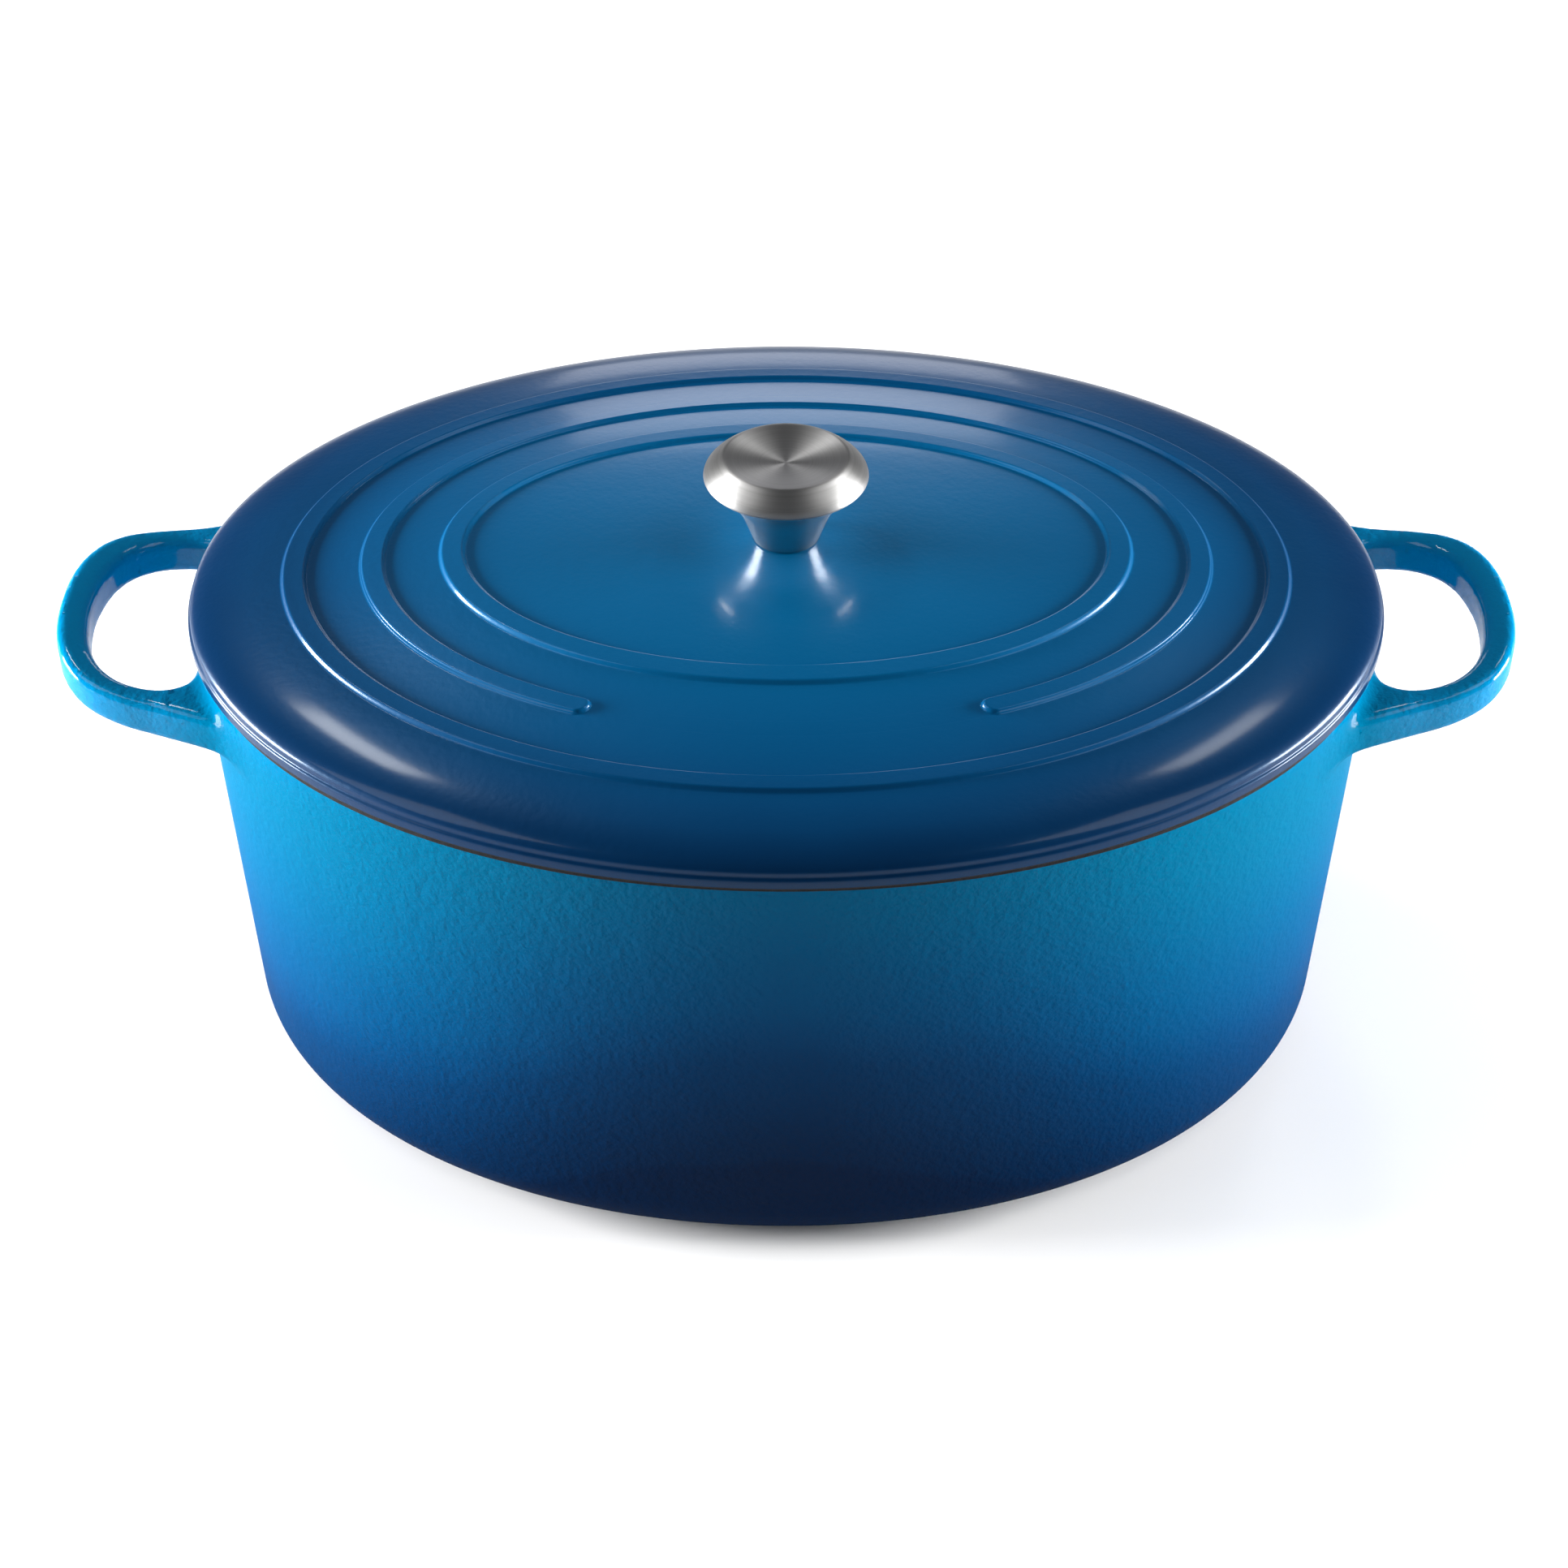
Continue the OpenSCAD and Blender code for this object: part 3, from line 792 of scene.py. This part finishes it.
def lid_enamel():
    """The same enamel on the lid, bright in the middle and dark towards the edge."""
    n = Nodes("enamel_lid")
    where = object_place(n)
    x, y, _ = split_place(n, where)
    along = n.math("DIVIDE", x, LID_A)
    across = n.math("DIVIDE", y, LID_B)
    out = n.math("SQRT", n.math("ADD", n.math("MULTIPLY", along, along),
                                n.math("MULTIPLY", across, across)))
    drift = n.math("MULTIPLY", n.math("SUBTRACT", n.noise(where, 12.0, 2.0), 0.5), 0.08)
    fade = n.ramp(n.math("ADD", out, drift), LID_FADE, "B_SPLINE")
    speck = n.noise(where, 900.0, 2.0)
    colour = n.mix(n.math("MULTIPLY", speck, 0.08), fade, NAVY)
    return n.finish(Base_Color=colour, Roughness=0.32, Normal=cast_bump(n, where, 0.16),
                    Coat_Weight=0.24, Coat_Roughness=0.12, Specular_IOR_Level=0.15,
                    Specular_Tint=(0.1, 0.5, 1.0, 1))


def sand_enamel():
    """The pale enamel inside the pot and the lid."""
    n = Nodes("enamel_interior")
    where = object_place(n)
    tone = n.ramp(n.noise(where, 18.0, 3.0), [(0.3, (0.60, 0.49, 0.34)),
                                              (0.7, (0.70, 0.60, 0.44))])
    speck = n.math("GREATER_THAN", n.noise(where, 700.0, 1.0), 0.72)
    colour = n.mix(n.math("MULTIPLY", speck, 0.35), tone, (0.30, 0.22, 0.14, 1))
    return n.finish(Base_Color=colour, Roughness=0.30, Normal=cast_bump(n, where, 0.3),
                    Coat_Weight=0.5, Coat_Roughness=0.12)


def black_enamel():
    """Matt black ground enamel on the bare rims."""
    n = Nodes("enamel_rim")
    where = object_place(n)
    tone = n.ramp(n.noise(where, 400.0, 3.0), [(0.35, (0.004, 0.004, 0.005)),
                                               (0.75, (0.012, 0.012, 0.014))])
    grain = n.bump(n.noise(where, 1400.0, 2.0), 0.00012, 0.8)
    return n.finish(Base_Color=tone, Roughness=0.6, Normal=grain, Specular_IOR_Level=0.12)


def turned_steel(name, tone, rough):
    """Stainless steel brushed in circles round the knob's axis."""
    n = Nodes(name)
    x, y, z = split_place(n, object_place(n))
    r = n.math("SQRT", n.math("ADD", n.math("MULTIPLY", x, x), n.math("MULTIPLY", y, y)))
    lines = n.add("ShaderNodeCombineXYZ", None, X=r, Y=z).outputs[0]
    fine = n.noise(lines, 9000.0, 2.0)
    broad = n.noise(lines, 1500.0, 2.0)
    colour = n.ramp(broad, [(0.3, tuple(c * 0.88 for c in tone)), (0.7, tone)])
    brush = n.bump(fine, 0.00003, 0.5)
    tangent = n.add("ShaderNodeTangent", {"direction_type": "RADIAL", "axis": "Z"}).outputs[0]
    return n.finish(Base_Color=colour, Metallic=1.0, Roughness=rough, Anisotropic=0.75,
                    Anisotropic_Rotation=0.25, Tangent=tangent, Normal=brush)


def plated(name, tone, rough):
    """A plain plated or turned metal with a fine grain."""
    n = Nodes(name)
    where = object_place(n)
    grain = n.noise(where, 1800.0, 3.0)
    colour = n.ramp(grain, [(0.3, tuple(c * 0.8 for c in tone)), (0.7, tone)])
    return n.finish(Base_Color=colour, Metallic=1.0, Roughness=rough,
                    Normal=n.bump(grain, 0.00004, 0.5))


# ---------------------------------------------------------------------------------------------
# Pieces
# ---------------------------------------------------------------------------------------------
def make_pot(outside, inside, rim):
    """The pot's enamelled outside with both handles, its lining and its bare rim."""
    body = ring_stack(pot_rings(outside_section()), close_end=True)
    right, faces = handle_skin()
    left = right * np.array([-1, -1, 1])
    shell = new_object("pot_shell", *join([body, (right, faces), (left, faces)]), outside,
                       "pot", "enamel_body")
    lining = turned_over(ring_stack(pot_rings(inside_section()), close_end=True))
    new_object("pot_lining", *lining, inside, "pot", "enamel_interior")
    band = turned_over(ring_stack(pot_rings(rim_section())))
    new_object("pot_rim", *band, rim, "pot", "enamel_rim")
    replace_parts(shell, "pot")


def make_lid(outside, inside, rim):
    """The lid's enamelled top with its raised rings, its bare rim and its lining."""
    lip = lid_edge_section()
    top = turned_over(ring_stack(lid_outside() + inset_rings(lip)))
    cover = new_object("lid_cover", *top, outside, "lid", "enamel_lid")
    band = turned_over(ring_stack(inset_rings([lip[-1]] + lid_under_section())))
    new_object("lid_rim", *band, rim, "lid", "enamel_rim")
    hollow = turned_over(ring_stack(lid_inner_rings()))
    new_object("lid_lining", *hollow, inside, "lid", "enamel_interior")
    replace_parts(cover, "lid")


def make_knob(steel, stem_steel):
    """The knob's cap, closed in the middle of its dish, and the stem under it."""
    cap = turned_over(ring_stack(turned(cap_profile()[1:]), close_start=True))
    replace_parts(new_object("knob_top", *cap, steel, "lid", "brushed_steel"), "knob_cap")
    stem = ring_stack(turned(stem_profile()))
    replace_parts(new_object("knob_neck", *stem, stem_steel, "lid", "brushed_steel"), "knob_stem")


def dress_fasteners(zinc, brass):
    """The CAD fasteners keep their shape and get a real finish."""
    finishes = {"knob_screw": zinc, "spring_washer": zinc, "flat_washer": zinc,
                "knob_insert": brass}
    for name, material in finishes.items():
        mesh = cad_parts[name].data
        for i in range(len(mesh.materials)):
            mesh.materials[i] = material


# ---------------------------------------------------------------------------------------------
# Studio
# ---------------------------------------------------------------------------------------------
# Half the floor's side, and where round the pot the floor starts and ends turning white
FLOOR_HALF = 60.0
GLOW_START = 0.9
GLOW_END = 2.6
# What the camera looks at, how far off it is and how steeply it looks down
CAMERA_AIM = (0, 0, 0.09)
CAMERA_AWAY = 1.1
CAMERA_PITCH = radians(37.825)
CAMERA_LENS = 68.37
CAMERA_SHIFT = (-0.0013, -0.0056)


def area_light(name, place, target, size, power, colour=(1, 1, 1)):
    """A soft rectangular light that looks at a target."""
    data = bpy.data.lights.new(name, "AREA")
    data.shape = "RECTANGLE"
    data.size, data.size_y = size
    data.energy = power
    data.color = colour
    light = bpy.data.objects.new(name, data)
    light.location = place
    light.rotation_euler = (Vector(target) - Vector(place)).to_track_quat("-Z", "Y").to_euler()
    bpy.context.scene.collection.objects.link(light)


def make_floor():
    """A plain pale floor that fades to white away from the pot."""
    size = FLOOR_HALF
    mesh = bpy.data.meshes.new("studio_floor")
    mesh.from_pydata([(-size, -size, 0), (size, -size, 0), (size, size, 0), (-size, size, 0)],
                     [], [(0, 1, 2, 3)])
    floor = bpy.data.objects.new("studio_floor", mesh)
    bpy.context.scene.collection.objects.link(floor)
    n = Nodes("studio_floor")
    where = object_place(n)
    tone = n.ramp(n.noise(where, 3.0), [(0.3, (0.90, 0.90, 0.90)), (0.7, (0.92, 0.92, 0.92))])
    far = n.add("ShaderNodeVectorMath", {"operation": "LENGTH"}, i0=where).outputs["Value"]
    glow = n.add("ShaderNodeMapRange", {"interpolation_type": "SMOOTHSTEP"}, Value=far,
                 From_Min=GLOW_START, From_Max=GLOW_END, To_Max=0.95).outputs[0]
    mesh.materials.append(n.finish(Base_Color=tone, Roughness=0.6, Specular_IOR_Level=0.2,
                                   Emission_Color=(1, 1, 1, 1), Emission_Strength=glow))


def make_studio():
    """A dim world, bright low sides for the body, and small lights for the lid's gloss."""
    world = bpy.data.worlds.new("studio")
    bpy.context.scene.world = world
    world.use_nodes = True
    background = world.node_tree.nodes["Background"]
    background.inputs["Color"].default_value = (0.90, 0.94, 1.0, 1)
    background.inputs["Strength"].default_value = 0.10
    middle = (0, 0, 0.10)
    area_light("left_side", (-2.3, 0.2, 0.42), middle, (1.2, 0.7), 235)
    area_light("right_side", (2.3, 0.2, 0.42), middle, (1.2, 0.7), 180)
    area_light("left_top", (-1.15, -0.25, 1.65), middle, (0.8, 0.9), 8)
    area_light("right_top", (1.15, -0.25, 1.65), middle, (0.8, 0.9), 8)
    area_light("left_strip", (-0.50, 0.62, 1.10), (-0.14, -0.10, 0.18), (0.10, 0.24), 2.1)
    area_light("right_strip", (0.50, 0.62, 1.08), (0.14, -0.10, 0.18), (0.09, 0.22), 0.95)
    area_light("back_panel", (0, 1.9, 0.62), middle, (0.6, 0.4), 3.2, (0.92, 0.93, 1.0))
    make_floor()


def make_camera():
    """Looks down on the pot from the front."""
    data = bpy.data.cameras.new("camera")
    data.lens = CAMERA_LENS
    data.sensor_width = 36
    data.shift_x, data.shift_y = CAMERA_SHIFT
    camera = bpy.data.objects.new("camera", data)
    away = Vector((0, -cos(CAMERA_PITCH), sin(CAMERA_PITCH))) * CAMERA_AWAY
    camera.location = Vector(CAMERA_AIM) + away
    camera.rotation_euler = (pi / 2 - CAMERA_PITCH, 0, 0)
    bpy.context.scene.collection.objects.link(camera)
    bpy.context.scene.camera = camera


make_camera()
make_studio()
bpy.context.scene.view_settings.view_transform = "Standard"

sand = sand_enamel()
black = black_enamel()
make_pot(body_enamel(), sand, black)
make_lid(lid_enamel(), sand, black)
make_knob(turned_steel("brushed_steel", (0.30, 0.297, 0.293), 0.48),
          turned_steel("polished_steel", (0.56, 0.56, 0.56), 0.22))
dress_fasteners(plated("zinc_steel", (0.55, 0.57, 0.60), 0.35),
                plated("brass_insert", (0.72, 0.55, 0.25), 0.3))
